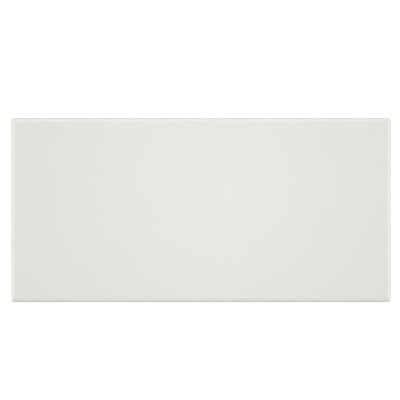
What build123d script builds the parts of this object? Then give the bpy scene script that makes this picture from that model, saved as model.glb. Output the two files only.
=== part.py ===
from build123d import *

import os
from math import radians, tan

# A porcelain tile, dry-pressed and fired as one piece, lying face up with its keyed back on Z = 0.
# Lengths are in millimetres and angles in degrees. X runs along the tile, Y across it, Z out of the face.
# The origin is at the middle of the back.

# Format: two widths and one joint of 4.8 mm make one length
TILE_LENGTH = 147.6
TILE_WIDTH = 71.4
TILE_THICKNESS = 8.0

# Bevel around the face, mitred at the corners, eased on the mitres, into the side and into the face
BEVEL_WIDTH = 1.5
BEVEL_DROP = 0.5
MITRE_EASE_RADIUS = 1.0
SIDE_EASE_RADIUS = 0.55
FACE_EASE_RADIUS = 0.2

# Side: an upright land under the bevel, then a drafted foot that the die releases
SIDE_CORNER_RADIUS = 1.2
FOOT_HEIGHT = 2.5
FOOT_DRAFT = 8.0
BACK_EDGE_RADIUS = 0.4

# Keyed back: a grid of shallow drafted pockets between ribs, inside a plain rim
KEY_PITCH = 15.5
KEY_DEPTH = 0.7
KEY_DRAFT = 30.0
KEY_FLOOR_RADIUS = 1.2
RIB_WIDTH = 2.4
RIM_WIDTH = 5.0

# The drafted foot makes the back smaller than the side's land by this much all round
foot_inset = FOOT_HEIGHT * tan(radians(FOOT_DRAFT))
back_length = TILE_LENGTH - 2 * foot_inset
back_width = TILE_WIDTH - 2 * foot_inset


def side_faces(block):
    """All faces of a block but its top and bottom."""
    return block.faces().filter_by(Axis.Z, reverse=True)


def pressed_blank():
    """The tile as a plain slab: an upright land on top of a foot that draws in towards the back."""
    outline = RectangleRounded(TILE_LENGTH, TILE_WIDTH, SIDE_CORNER_RADIUS)
    land = Pos(Z=FOOT_HEIGHT) * extrude(outline, amount=TILE_THICKNESS - FOOT_HEIGHT)
    foot = extrude(outline, amount=FOOT_HEIGHT)
    parting_plane = Plane.XY.offset(FOOT_HEIGHT)
    return land + draft(side_faces(foot), parting_plane, -FOOT_DRAFT)


def mitred_block():
    """A square-cornered block of the tile's size, with the bevel round its top from mitre to mitre."""
    block = extrude(Rectangle(TILE_LENGTH, TILE_WIDTH), amount=TILE_THICKNESS)
    top = block.faces().sort_by(Axis.Z)[-1]
    return chamfer(top.edges(), length=BEVEL_WIDTH, length2=BEVEL_DROP, reference=top)


def bevel_face(slab):
    """Bevels the rim of the face, then eases the mitres, the rim of the side and the rim of the face."""
    slab = slab & mitred_block()
    # The mitres are the edges next below the face
    mitres = slab.edges().group_by(Axis.Z)[-2]
    slab = fillet(mitres, MITRE_EASE_RADIUS)
    # With the mitres eased, the side's rim is one smooth loop that rises a little round each corner
    rim_height = TILE_THICKNESS - BEVEL_DROP
    rim_span = BEVEL_DROP / 2
    side_rim = slab.edges().filter_by_position(Axis.Z, rim_height - rim_span, rim_height + rim_span)
    slab = fillet(side_rim, SIDE_EASE_RADIUS)
    face = slab.faces().sort_by(Axis.Z)[-1]
    return fillet(face.edges(), FACE_EASE_RADIUS)


def ease_back(slab):
    """Rounds the edge between the back and the foot."""
    back = slab.faces().sort_by(Axis.Z)[0]
    return fillet(back.edges(), BACK_EDGE_RADIUS)


def key_count_and_pitch(back_size):
    """How many pockets fit along one side of the back, and the spacing that keeps rim and rib widths."""
    field = back_size - 2 * RIM_WIDTH + RIB_WIDTH
    count = max(1, round(field / KEY_PITCH))
    return count, field / count


def key_pockets():
    """The pockets pressed into the back, as the solids to cut away."""
    columns, pitch_x = key_count_and_pitch(back_length)
    rows, pitch_y = key_count_and_pitch(back_width)
    mouth_radius = KEY_FLOOR_RADIUS + KEY_DEPTH * tan(radians(KEY_DRAFT))
    mouth = RectangleRounded(pitch_x - RIB_WIDTH, pitch_y - RIB_WIDTH, mouth_radius)
    pocket = draft(side_faces(extrude(mouth, amount=KEY_DEPTH)), Plane.XY, KEY_DRAFT)
    return [place * pocket for place in GridLocations(pitch_x, pitch_y, columns, rows)]


tile = ease_back(bevel_face(pressed_blank())) - key_pockets()

os.makedirs("parts", exist_ok=True)
export_step(tile, "parts/tile.step")
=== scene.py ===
import math

import bpy
import numpy as np
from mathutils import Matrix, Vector, noise


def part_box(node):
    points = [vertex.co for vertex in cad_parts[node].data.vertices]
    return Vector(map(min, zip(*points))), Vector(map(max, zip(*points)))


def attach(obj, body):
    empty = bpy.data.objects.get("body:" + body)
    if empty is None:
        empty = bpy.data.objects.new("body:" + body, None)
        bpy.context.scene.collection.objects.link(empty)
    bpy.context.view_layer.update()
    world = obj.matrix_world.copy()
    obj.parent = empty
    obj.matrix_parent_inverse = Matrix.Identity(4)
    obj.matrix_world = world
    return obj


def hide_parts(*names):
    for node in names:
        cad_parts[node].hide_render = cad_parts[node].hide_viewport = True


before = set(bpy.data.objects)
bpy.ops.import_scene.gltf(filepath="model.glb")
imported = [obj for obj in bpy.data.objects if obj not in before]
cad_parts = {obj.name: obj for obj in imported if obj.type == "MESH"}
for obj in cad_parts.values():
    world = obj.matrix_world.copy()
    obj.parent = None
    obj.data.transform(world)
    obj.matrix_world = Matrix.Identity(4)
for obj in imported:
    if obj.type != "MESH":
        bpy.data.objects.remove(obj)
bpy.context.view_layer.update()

# A glazed porcelain tile lying face up on a white studio floor, seen straight from above.
# Lengths are in metres, in the frame of the solid: X along the tile, Y across it, Z out of the face.
MM = 0.001

# Section of the tile, as its solid has it
BEVEL_WIDTH = 1.5 * MM
BEVEL_DROP = 0.5 * MM
MITRE_EASE_RADIUS = 1.0 * MM
SIDE_EASE_RADIUS = 0.55 * MM
FACE_EASE_RADIUS = 0.2 * MM
SIDE_CORNER_RADIUS = 1.2 * MM
FOOT_HEIGHT = 2.5 * MM
FOOT_DRAFT = math.radians(8.0)
BACK_EDGE_RADIUS = 0.4 * MM

# Keyed back, as the solid has it, with the pressed softness of its edges
KEY_PITCH = 15.5 * MM
KEY_DEPTH = 0.7 * MM
KEY_DRAFT = math.radians(30.0)
KEY_FLOOR_RADIUS = 1.2 * MM
KEY_EDGE_SOFTNESS = 0.1 * MM
RIB_WIDTH = 2.4 * MM
RIM_WIDTH = 5.0 * MM

# Slow waviness of the fired glaze
GLAZE_WAVE_DEPTH = 0.03 * MM
GLAZE_WAVE_LENGTH = 22.0 * MM
GLAZE_WAVE_FADE = 6.0 * MM

# Fineness of the mesh
CORNER_STEPS = 10
EASE_STEPS = 7
BEVEL_STEPS = 8
LAND_STEPS = 10
RIM_STEPS = 2
KEY_LINES = [d * MM for d in (-0.25, -0.05, 0.08, 0.2, 0.32, 0.45, 0.65, 1.0, 1.6)]

# Free strip around every chart of the surface map
CHART_GAP = 2.0 * MM

# Finish: satin glaze on the face, bevel and upper side, with painted shade on the rounded edge between
# bevel and side, bare granular body below, release wash on the ribs
GLAZE_COLOUR = (0.745, 0.760, 0.722)
GLAZE_TINT = (0.735, 0.751, 0.711)
GLAZE_TINT_SIZE = 1.1 * MM
GLAZE_ROUGHNESS = 0.38
GLAZE_RELIEF_SIZE = 0.62 * MM
GLAZE_RELIEF_STRENGTH = 0.3
# Painted shade: a darker colour on the rounded edge between bevel and side, standing in for the shade that
# falls there
PAINTED_EDGE_SHADE_COLOUR = (0.570, 0.574, 0.540)
PAINTED_EDGE_SHADE_FADE = 0.04 * MM
GLAZE_EDGE_HEIGHT = 4.4 * MM
GLAZE_EDGE_BLUR = 0.3 * MM
GLAZE_EDGE_WANDER = 0.35 * MM
GLAZE_EDGE_WANDER_SIZE = 7.0 * MM
GLAZE_EDGE_SPRAY = 0.35 * MM
GLAZE_EDGE_SPRAY_SIZE = 0.42 * MM
BODY_COLOUR = (0.61, 0.59, 0.545)
BODY_GRAIN = (0.50, 0.48, 0.44)
BODY_GRAIN_SIZE = 0.38 * MM
BODY_GRAIN_SPAN = (0.35, 0.75)
BODY_ROUGHNESS = 0.8
BODY_RELIEF_SIZE = 0.45 * MM
BODY_RELIEF_DETAIL = 3.0
BODY_RELIEF_STRENGTH = 1.0
RELIEF_DEPTH = 0.02 * MM
STREAK_COLOUR = (0.55, 0.53, 0.485)
STREAK_SIZE = 1.25 * MM
STREAK_DETAIL = 1.0
STREAK_SPAN = (0.45, 0.7)
STREAK_STRETCH = (1, 1, 0.06)
PARTING_COLOUR = (0.49, 0.47, 0.425)
PARTING_WIDTH = 0.25 * MM
WASH_COLOUR = (0.69, 0.68, 0.65)
WASH_HEIGHT = 0.3 * MM
WASH_SIZE = 3.1 * MM
WASH_DETAIL = 4.0
WASH_SPAN = (0.38, 0.7)
NOISE_DETAIL = 2.0
NOISE_SPAN = (0.3, 0.7)

# Framing in the photograph's pixels
IMAGE_SIDE = 400
TILE_PIXELS = 380.0
TILE_MIDDLE_PIXEL = (201.0, 210.1)
LENS = 100.0
SENSOR_WIDTH = 36.0

# Studio
FLOOR_SIZE = 20.0
FLOOR_DROP = 0.02 * MM
FLOOR_COLOUR = (0.1, 0.1, 0.1, 1)
FLOOR_GLOW = 0.97
# Glow of the surround from below, along the horizon and overhead, by the height of the direction
BOUNCE_GLOW = 0.1
BOUNCE_TOP = -0.06
HORIZON_BOTTOM = -0.02
HORIZON_GLOW = 1.02
HORIZON_TOP = 0.15
DOME_GLOW = 0.1
DOME_START = 0.35
# Soft lights: place, size and power
LIGHTS = {
    "left": ((-1.6, 0.0, 1.0), (1.2, 0.6), 7.2),
    "right": ((1.6, 0.0, 1.0), (1.2, 0.6), 4.3),
    "left_low": ((-1.6, 0.0, 0.22), (1.2, 0.3), 12.6),
    "right_low": ((1.6, 0.0, 0.22), (1.2, 0.3), 14.8),
    "far": ((0.0, 1.6, 1.0), (1.2, 0.6), 17.8),
    "near": ((0.0, -1.6, 1.6), (1.2, 0.6), 10.6),
    "overhead": ((0.009, 0.009, 0.28), (0.12, 0.12), 0.154),
}

low_corner, high_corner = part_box("tile")
tile_length, tile_width, tile_thickness = high_corner - low_corner

bevel_angle = math.atan2(BEVEL_DROP, BEVEL_WIDTH)
face_ease_run = FACE_EASE_RADIUS * math.tan(bevel_angle / 2)
side_ease_run = SIDE_EASE_RADIUS * math.tan((math.pi / 2 - bevel_angle) / 2)
land_top = tile_thickness - BEVEL_DROP - side_ease_run
side_ease_top = land_top + SIDE_EASE_RADIUS * math.cos(bevel_angle)
face_inset = BEVEL_WIDTH + face_ease_run
foot_inset = FOOT_HEIGHT * math.tan(FOOT_DRAFT)

# Easing the mitres rounds the corners of the bevel's levels by this radius
mitre_turn = math.acos(math.cos(bevel_angle) ** 2)
mitre_slant = math.atan(1 / math.cos(bevel_angle))
mitre_radius = MITRE_EASE_RADIUS * math.tan(mitre_turn / 2) / math.sin(mitre_slant)
# The inset at which the side's rounded corner has run out into the mitre
mitre_start = (2 - math.sqrt(2)) * (SIDE_CORNER_RADIUS - mitre_radius)

# The grids of face and back end where the rounded corners of their levels begin
half_size = np.array([tile_length, tile_width]) / 2
face_core = half_size - face_inset - mitre_radius
back_core = half_size - SIDE_CORNER_RADIUS


def arc(inset, height, radius, start, end):
    """Points of an arc in the section. Angles are those of the outward normal, from straight up."""
    angles = np.linspace(start, end, EASE_STEPS + 1)
    return [(inset - radius * math.sin(a), height + radius * math.cos(a)) for a in angles]


def bevel_corner_radius(inset):
    """Corner radius of a level of the bevel: the side's own at no inset, the eased mitre's further in."""
    left = max(0, 1 - inset / mitre_start)
    return mitre_radius + (SIDE_CORNER_RADIUS - mitre_radius) * left * left


def section():
    """The rings from face to back, as rows of inset from the side, height, corner radius and slide.

    Slide is 0 where points along the sides follow the face's even grid, 1 where they follow the back's.
    """
    face_ease = arc(face_inset, tile_thickness - FACE_EASE_RADIUS, FACE_EASE_RADIUS, 0, bevel_angle)
    side_ease = arc(SIDE_EASE_RADIUS, land_top, SIDE_EASE_RADIUS, bevel_angle, math.pi / 2)
    bevel = np.linspace(face_ease[-1], side_ease[0], BEVEL_STEPS + 1)[1:-1]
    foot_normal = math.pi / 2 + FOOT_DRAFT
    back_inset = foot_inset + BACK_EDGE_RADIUS * math.tan((math.pi - foot_normal) / 2)
    back_edge = arc(back_inset, BACK_EDGE_RADIUS, BACK_EDGE_RADIUS, foot_normal, math.pi)
    shares = np.linspace(0, 1, LAND_STEPS + 1)[1:]
    upper = [(d, height, bevel_corner_radius(d), 0) for d, height in [*face_ease, *bevel, *side_ease]]
    land = [(0, land_top + (FOOT_HEIGHT - land_top) * s, SIDE_CORNER_RADIUS, s) for s in shares]
    lower = [(d, height, SIDE_CORNER_RADIUS - d, 1) for d, height in back_edge]
    return upper + land + lower


def key_count_and_pitch(half):
    """How many pockets lie along one side of the back, and how far apart."""
    field = 2 * (half - foot_inset - RIM_WIDTH) + RIB_WIDTH
    count = max(1, round(field / KEY_PITCH))
    return count, field / count


def key_middles(half):
    """Middles of the pockets along one side of the back."""
    count, pitch = key_count_and_pitch(half)
    return (np.arange(count) - (count - 1) / 2) * pitch


def back_lines(half, core):
    """Grid lines of the back along one axis, close together where the pocket walls fall."""
    pitch = key_count_and_pitch(half)[1]
    half_mouth = (pitch - RIB_WIDTH) / 2
    middles = key_middles(half)
    lines = [-core, core]
    for middle in middles:
        lines.append(middle)
        lines += [middle + side * (half_mouth - inside) for side in (-1, 1) for inside in KEY_LINES]
    lines += list(middles[:-1] + pitch / 2)
    outermost = max(lines[2:])
    rim = np.linspace(outermost, core, RIM_STEPS + 2)[1:-1]
    return np.sort(lines + list(rim) + list(-rim))


def key_height(x, y):
    """Height of the keyed back above its ribs: drafted pockets with softly pressed edges."""
    pitch_x, pitch_y = (key_count_and_pitch(half)[1] for half in half_size)
    wall_run = KEY_DEPTH * math.tan(KEY_DRAFT)
    mouth_radius = KEY_FLOOR_RADIUS + wall_run
    from_middle_x = np.abs(x[..., None] - key_middles(half_size[0])).min(-1)
    from_middle_y = np.abs(y[..., None] - key_middles(half_size[1])).min(-1)
    past_x = from_middle_x - ((pitch_x - RIB_WIDTH) / 2 - mouth_radius)
    past_y = from_middle_y - ((pitch_y - RIB_WIDTH) / 2 - mouth_radius)
    outside = np.hypot(np.maximum(past_x, 0), np.maximum(past_y, 0))
    inside = mouth_radius - outside - np.minimum(np.maximum(past_x, past_y), 0)
    start = np.hypot(inside, KEY_EDGE_SOFTNESS)
    end = np.hypot(inside - wall_run, KEY_EDGE_SOFTNESS)
    return KEY_DEPTH * (0.5 + (start - end) / (2 * wall_run))


def glaze_dip(x, y):
    """How far the glaze lies below the flat of the face: slow waves that fade out towards the rim."""
    points = np.stack([x, y, np.zeros_like(x)], -1).reshape(-1, 3) / GLAZE_WAVE_LENGTH
    waves = np.array([noise.noise(Vector(p)) for p in points]).reshape(x.shape)
    to_rim = np.minimum(face_core[0] - np.abs(x), face_core[1] - np.abs(y))
    fade = np.clip(to_rim / GLAZE_WAVE_FADE, 0, 1)
    return GLAZE_WAVE_DEPTH * (1 + waves) / 2 * fade * fade * (3 - 2 * fade)


def perimeter(count_x, count_y):
    """Walks once round the core rectangle, counter-clockwise from above.

    Gives for each point its grid index in X and in Y, its outward direction and the number of its side.
    A corner repeats its grid point and belongs to the side before it.
    """
    last_x, last_y = count_x - 1, count_y - 1
    right = [(last_x, j) for j in range(count_y)]
    top = [(i, last_y) for i in range(last_x, -1, -1)]
    left = [(0, j) for j in range(last_y, -1, -1)]
    bottom = [(i, 0) for i in range(count_x)]
    places, angles, turns = [], [], []
    for turn, side in enumerate((right, top, left, bottom)):
        places += side + [side[-1]] * (CORNER_STEPS - 1)
        angles += [turn * math.pi / 2] * len(side)
        angles += [(turn + step / CORNER_STEPS) * math.pi / 2 for step in range(1, CORNER_STEPS)]
        turns += [turn] * (len(side) + CORNER_STEPS - 1)
    return np.array(places), np.stack([np.cos(angles), np.sin(angles)], -1), np.array(turns)


def grid_faces(first, count_x, count_y, upwards):
    """Quads of a grid of vertices stored column by column."""
    faces = []
    for i in range(count_x - 1):
        for j in range(count_y - 1):
            corner = first + i * count_y + j
            quad = (corner, corner + count_y, corner + count_y + 1, corner + 1)
            faces.append(quad if upwards else quad[::-1])
    return faces


def strip_faces(inner, outer):
    """Faces between two loops of vertices: quads, or triangles where one loop stands still."""
    faces = []
    for a, b, c, d in zip(inner, outer, np.roll(outer, -1), np.roll(inner, -1)):
        corners = list(dict.fromkeys((int(a), int(b), int(c), int(d))))
        if len(corners) > 2:
            faces.append(corners)
    return faces


def side_charts(levels, turns):
    """Where each quad of the rings lies when the four sides are unrolled into strips, ring by ring.

    The two long sides have a row each, and the two ends share the third row.
    """
    steps = [np.linalg.norm(np.roll(level, -1, 0) - level, axis=1) for level in levels]
    along = np.array([np.concatenate([[0], np.cumsum(step)]) for step in steps])
    firsts = np.array([np.argmax(turns == turn) for turn in range(4)])
    down = np.cumsum([0] + [np.linalg.norm(b[0] - a[0]) for a, b in zip(levels[:-1], levels[1:])])
    row_height = down[-1] + CHART_GAP
    first_row = 3 * CHART_GAP + 2 * tile_width
    end_run = tile_width + CHART_GAP
    # Right end, upper side, left end, lower side
    left_edges = CHART_GAP + np.array([0, 0, end_run, 0])
    row_tops = first_row + row_height * np.array([1, 2, 1, 3]) - CHART_GAP
    charts = []
    for k in range(len(levels) - 1):
        for i, turn in enumerate(turns):
            start = left_edges[turn] - along[k:k + 2, firsts[turn]]
            near, far = along[k:k + 2, i] + start, along[k:k + 2, i + 1] + start
            high, low = row_tops[turn] - down[k], row_tops[turn] - down[k + 1]
            charts.append([(near[0], high), (near[1], low), (far[1], low), (far[0], high)])
    return charts, row_tops.max() + CHART_GAP


def tile_mesh():
    """The whole tile as one closed mesh: face grid, rings down the section, grid of the keyed back."""
    back_x, back_y = (back_lines(half, core) for half, core in zip(half_size, back_core))
    count_x, count_y = len(back_x), len(back_y)
    even_x, even_y = np.linspace(-1, 1, count_x), np.linspace(-1, 1, count_y)
    keyed_x, keyed_y = back_x / back_core[0], back_y / back_core[1]
    places, outward, turns = perimeter(count_x, count_y)

    grid_x, grid_y = np.meshgrid(even_x * face_core[0], even_y * face_core[1], indexing="ij")
    levels = [np.stack([grid_x, grid_y, tile_thickness - glaze_dip(grid_x, grid_y)], -1).reshape(-1, 3)]
    rings = section()
    for inset, height, corner_radius, slide in rings:
        share_x = even_x + (keyed_x - even_x) * slide
        share_y = even_y + (keyed_y - even_y) * slide
        core = half_size - inset - corner_radius
        flat = core * np.stack([share_x[places[:, 0]], share_y[places[:, 1]]], -1) + corner_radius * outward
        levels.append(np.column_stack([flat, np.full(len(flat), height)]))
    grid_x, grid_y = np.meshgrid(back_x, back_y, indexing="ij")
    levels.append(np.stack([grid_x, grid_y, key_height(grid_x, grid_y)], -1).reshape(-1, 3))
    points = np.concatenate(levels)

    starts = np.cumsum([0] + [len(level) for level in levels])
    rim = places[:, 0] * count_y + places[:, 1]
    loops = [rim]
    loops += [np.arange(len(places)) + start for start in starts[1:len(rings) + 1]]
    loops.append(rim + starts[len(rings) + 1])
    strips = [strip_faces(inner, outer) for inner, outer in zip(loops[:-1], loops[1:])]

    # The bevel belongs to the face in the surface map, and the strips below it to the sides
    side_start = EASE_STEPS + BEVEL_STEPS + 1
    face_part = grid_faces(0, count_x, count_y, True) + sum(strips[:side_start], [])
    side_part = sum(strips[side_start:-1], [])
    back_part = strips[-1] + grid_faces(int(starts[len(rings) + 1]), count_x, count_y, False)
    side_uv, chart_side = side_charts(levels[side_start:-1], turns)
    middle = CHART_GAP + np.array([tile_length, tile_width]) / 2
    face_shift = np.array([0, tile_width + CHART_GAP])
    face_uv = [points[list(face), :2] + middle + face_shift for face in face_part]
    back_uv = [points[list(face), :2] * (-1, 1) + middle for face in back_part]

    mesh = bpy.data.meshes.new("glazed_tile")
    mesh.from_pydata(points.tolist(), [], face_part + side_part + back_part)
    surface_map = mesh.uv_layers.new(name="OFBake")
    corners = np.concatenate(face_uv + [np.array(quad) for quad in side_uv] + back_uv)
    surface_map.data.foreach_set("uv", (corners / chart_side).ravel())
    mesh.shade_smooth()
    return mesh


def add_node(tree, kind, inputs=None, **settings):
    """Adds a node, sets its properties and fills its sockets with values or with other nodes' outputs."""
    node = tree.nodes.new(kind)
    for name, value in settings.items():
        setattr(node, name, value)
    for name, value in (inputs or {}).items():
        if isinstance(value, bpy.types.NodeSocket):
            tree.links.new(value, node.inputs[name])
        else:
            node.inputs[name].default_value = value
    return node


def smooth_ramp(tree, value, span, to_low, to_high):
    """Takes a value smoothly from one level to another over a span of it."""
    low, high = span
    inputs = {"Value": value, "From Min": low, "From Max": high, "To Min": to_low, "To Max": to_high}
    node = add_node(tree, "ShaderNodeMapRange", inputs, interpolation_type="SMOOTHSTEP")
    return node.outputs["Result"]


def porcelain():
    """Satin glaze on face, bevel and upper side with painted shade on its rounded outer edge, bare granular
    body below, release wash on the ribs.
    """
    material = bpy.data.materials.new("porcelain")
    material.use_nodes = True
    tree = material.node_tree
    tree.nodes.clear()
    place = add_node(tree, "ShaderNodeTexCoord").outputs["Object"]
    height = add_node(tree, "ShaderNodeSeparateXYZ", {"Vector": place}).outputs["Z"]

    def grain(size, detail=NOISE_DETAIL, where=place):
        inputs = {"Vector": where, "Scale": 1 / size, "Detail": detail}
        return add_node(tree, "ShaderNodeTexNoise", inputs).outputs["Fac"]

    def ramp(value, span, to_low=0.0, to_high=1.0):
        return smooth_ramp(tree, value, span, to_low, to_high)

    def combine(operation, first, second):
        return add_node(tree, "ShaderNodeMath", {0: first, 1: second}, operation=operation).outputs[0]

    def band(bottom, top, fade):
        above = ramp(height, (bottom - fade, bottom + fade))
        below = ramp(height, (top - fade, top + fade), 1.0, 0.0)
        return combine("MULTIPLY", above, below)

    def mix(kind, share, first, second):
        node = add_node(tree, "ShaderNodeMix", data_type=kind)
        sockets = [s for s in node.inputs if s.enabled]
        for socket, value in zip(sockets, (share, first, second)):
            if isinstance(value, bpy.types.NodeSocket):
                tree.links.new(value, socket)
            else:
                socket.default_value = (*value, 1) if kind == "RGBA" else value
        return next(s for s in node.outputs if s.enabled)

    wander = ramp(grain(GLAZE_EDGE_WANDER_SIZE), NOISE_SPAN, -GLAZE_EDGE_WANDER, GLAZE_EDGE_WANDER)
    spray = ramp(grain(GLAZE_EDGE_SPRAY_SIZE), NOISE_SPAN, -GLAZE_EDGE_SPRAY, GLAZE_EDGE_SPRAY)
    edge = combine("ADD", combine("ADD", height, wander), spray)
    glazed = ramp(edge, (GLAZE_EDGE_HEIGHT - GLAZE_EDGE_BLUR, GLAZE_EDGE_HEIGHT + GLAZE_EDGE_BLUR))
    glaze = mix("RGBA", ramp(grain(GLAZE_TINT_SIZE), NOISE_SPAN), GLAZE_COLOUR, GLAZE_TINT)
    # Painted shade: darkens the glaze on the rounded edge between bevel and side
    glaze = mix("RGBA", band(land_top, side_ease_top, PAINTED_EDGE_SHADE_FADE), glaze, PAINTED_EDGE_SHADE_COLOUR)

    stretch_inputs = {0: place, 1: STREAK_STRETCH}
    upright = add_node(tree, "ShaderNodeVectorMath", stretch_inputs, operation="MULTIPLY").outputs[0]
    body = mix("RGBA", ramp(grain(BODY_GRAIN_SIZE), BODY_GRAIN_SPAN), BODY_COLOUR, BODY_GRAIN)
    body = mix("RGBA", ramp(grain(STREAK_SIZE, STREAK_DETAIL, upright), STREAK_SPAN), body, STREAK_COLOUR)
    half_parting = PARTING_WIDTH / 2
    parting = band(FOOT_HEIGHT - half_parting, FOOT_HEIGHT + half_parting, half_parting)
    body = mix("RGBA", parting, body, PARTING_COLOUR)
    on_ribs = ramp(height, (0.0, WASH_HEIGHT), 1.0, 0.0)
    washed = combine("MULTIPLY", on_ribs, ramp(grain(WASH_SIZE, WASH_DETAIL), WASH_SPAN))
    body = mix("RGBA", washed, body, WASH_COLOUR)

    colour = mix("RGBA", glazed, body, glaze)
    roughness = mix("FLOAT", glazed, BODY_ROUGHNESS, GLAZE_ROUGHNESS)
    relief = mix("FLOAT", glazed, grain(BODY_RELIEF_SIZE, BODY_RELIEF_DETAIL), grain(GLAZE_RELIEF_SIZE))
    strength = mix("FLOAT", glazed, BODY_RELIEF_STRENGTH, GLAZE_RELIEF_STRENGTH)
    bump_inputs = {"Height": relief, "Strength": strength, "Distance": RELIEF_DEPTH}
    normal = add_node(tree, "ShaderNodeBump", bump_inputs).outputs["Normal"]
    shader_inputs = {"Base Color": colour, "Roughness": roughness, "Normal": normal}
    shader = add_node(tree, "ShaderNodeBsdfPrincipled", shader_inputs).outputs["BSDF"]
    add_node(tree, "ShaderNodeOutputMaterial", {"Surface": shader})
    return material


def place_in_scene(name, data):
    """A new object in the scene, at the origin."""
    made = bpy.data.objects.new(name, data)
    bpy.context.scene.collection.objects.link(made)
    return made


def white_floor():
    """A wide white floor that glows for the camera but throws no light back at the tile."""
    half = FLOOR_SIZE / 2
    corners = [(-half, -half, 0), (half, -half, 0), (half, half, 0), (-half, half, 0)]
    mesh = bpy.data.meshes.new("floor")
    mesh.from_pydata(corners, [], [(0, 1, 2, 3)])
    material = bpy.data.materials.new("floor_white")
    material.use_nodes = True
    shader = material.node_tree.nodes["Principled BSDF"]
    shader.inputs["Base Color"].default_value = FLOOR_COLOUR
    shader.inputs["Roughness"].default_value = 1.0
    shader.inputs["Specular IOR Level"].default_value = 0.0
    shader.inputs["Emission Color"].default_value = (1, 1, 1, 1)
    shader.inputs["Emission Strength"].default_value = FLOOR_GLOW
    mesh.materials.append(material)
    floor = place_in_scene("floor", mesh)
    floor.location.z = -FLOOR_DROP
    floor.visible_diffuse = False
    floor.visible_glossy = False
    floor.visible_shadow = False
    return floor


def soft_surround():
    """A surround that is white along the horizon and dimmer overhead and below."""
    world = bpy.data.worlds.new("surround")
    world.use_nodes = True
    tree = world.node_tree
    direction = add_node(tree, "ShaderNodeTexCoord").outputs["Generated"]
    upwards = add_node(tree, "ShaderNodeSeparateXYZ", {"Vector": direction}).outputs["Z"]

    lower = smooth_ramp(tree, upwards, (BOUNCE_TOP, HORIZON_BOTTOM), BOUNCE_GLOW, HORIZON_GLOW)
    upper = smooth_ramp(tree, upwards, (HORIZON_TOP, DOME_START), 0.0, DOME_GLOW - HORIZON_GLOW)
    strength = add_node(tree, "ShaderNodeMath", {0: lower, 1: upper}, operation="ADD").outputs[0]
    tree.links.new(strength, tree.nodes["Background"].inputs["Strength"])
    tree.nodes["Background"].inputs["Color"].default_value = (1, 1, 1, 1)
    return world


def soft_light(name, place, size, power):
    """A soft light that faces the tile."""
    data = bpy.data.lights.new(name, "AREA")
    data.shape = "RECTANGLE"
    data.size, data.size_y = size
    data.energy = power
    light = place_in_scene(name, data)
    light.location = place
    to_tile = Vector((0, 0, tile_thickness)) - Vector(place)
    light.rotation_euler = to_tile.to_track_quat("-Z", "Y").to_euler()
    light.visible_camera = False
    return light


def camera_from_above():
    """A camera that looks straight down, with the tile where the photograph has it."""
    data = bpy.data.cameras.new("camera")
    data.lens = LENS
    data.sensor_width = SENSOR_WIDTH
    camera = place_in_scene("camera", data)
    scale = tile_length / TILE_PIXELS
    focal_pixels = LENS / SENSOR_WIDTH * IMAGE_SIDE
    middle = IMAGE_SIDE / 2
    camera.location = (
        (middle - TILE_MIDDLE_PIXEL[0]) * scale,
        (TILE_MIDDLE_PIXEL[1] - middle) * scale,
        land_top + focal_pixels * scale,
    )
    return camera


tile = place_in_scene("glazed_tile", tile_mesh())
tile.data.materials.append(porcelain())
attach(tile, "root")
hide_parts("tile")

white_floor()
for light_name, (light_place, light_size, light_power) in LIGHTS.items():
    soft_light(light_name, light_place, light_size, light_power)
bpy.context.scene.world = soft_surround()
bpy.context.scene.camera = camera_from_above()
bpy.context.scene.view_settings.view_transform = "Standard"
